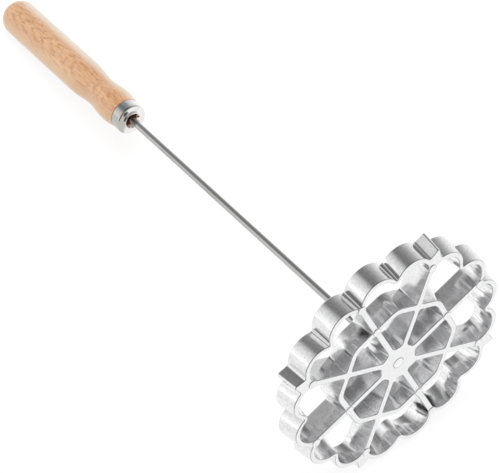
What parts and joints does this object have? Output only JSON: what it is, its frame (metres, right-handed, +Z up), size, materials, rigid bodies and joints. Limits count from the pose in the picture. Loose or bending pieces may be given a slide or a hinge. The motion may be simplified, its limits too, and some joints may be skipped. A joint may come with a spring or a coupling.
{
  "type": "rosette iron",
  "caption": "Rosette iron: an open flower mould of cast aluminium, riveted on a thin steel rod with a ferruled beech handle, for frying batter cookies.",
  "frame": {"origin": "centre of the bounding box in X and Y, at the surface that the iron lies on", "axes": "+Z up with the iron laid on its side, on two rear lobes of the mould and the butt of the handle; +Y runs from the mould towards the handle; +X completes the right-handed frame"},
  "size_m": [0.1196, 0.339, 0.1185],
  "materials": {
    "mould": "bright cast, tumbled smooth",
    "rod": "drawn wire, satin",
    "ferrule": "bright plated sheet steel",
    "handle": "turned beech, smooth, thin clear lacquer"
  },
  "bodies": {
    "root": {"mould": "mould", "rod": "rod", "ferrule": "ferrule", "handle": "handle"}
  },
  "joints": []
}
